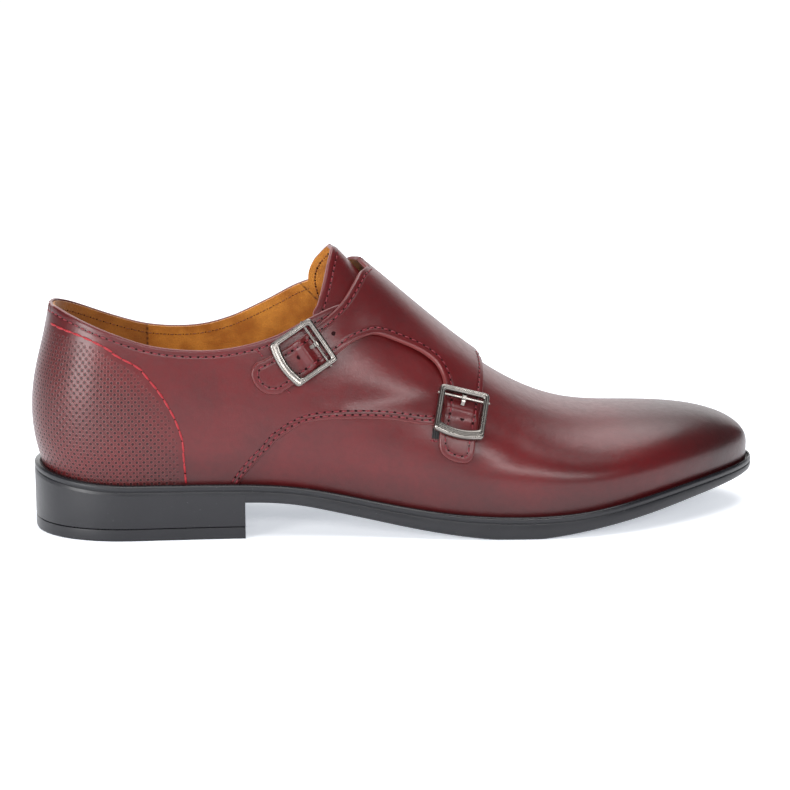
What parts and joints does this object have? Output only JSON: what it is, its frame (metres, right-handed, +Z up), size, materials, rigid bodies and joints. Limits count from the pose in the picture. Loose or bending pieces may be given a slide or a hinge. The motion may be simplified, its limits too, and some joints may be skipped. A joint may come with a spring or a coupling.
{
  "type": "monk strap shoe",
  "caption": "Right low leather shoe with a hollow upper, tongue, instep flap with buckled straps, and a moulded sole unit with a low block heel.",
  "frame": {"origin": "middle of the heel's ground face, on the floor", "axes": "+X to the toe, +Y to the inner (medial) side of the right foot, +Z up"},
  "size_m": [0.3047, 0.0993, 0.1145],
  "materials": {
    "upper": "smooth burgundy leather",
    "sole_unit": "matt charcoal rubber",
    "heel_top_lift": "matt charcoal rubber",
    "insole": "tan lining leather",
    "tongue": "smooth burgundy leather",
    "strap_flap": "smooth burgundy leather",
    "strap_keeper": "black woven elastic",
    "upper_buckle_frame": "antique silver",
    "upper_buckle_pin": "polished steel",
    "upper_buckle_prong": "polished steel",
    "lower_buckle_frame": "antique silver",
    "lower_buckle_pin": "polished steel",
    "lower_buckle_prong": "polished steel"
  },
  "bodies": {
    "root": {"upper": "upper", "sole_unit": "sole_unit", "heel_top_lift": "heel_top_lift", "insole": "insole", "tongue": "tongue", "strap_flap": "strap_flap", "strap_keeper": "strap_keeper", "upper_buckle_frame": "upper_buckle_frame", "upper_buckle_pin": "upper_buckle_pin", "upper_buckle_prong": "upper_buckle_prong", "lower_buckle_frame": "lower_buckle_frame", "lower_buckle_pin": "lower_buckle_pin", "lower_buckle_prong": "lower_buckle_prong"}
  },
  "joints": []
}
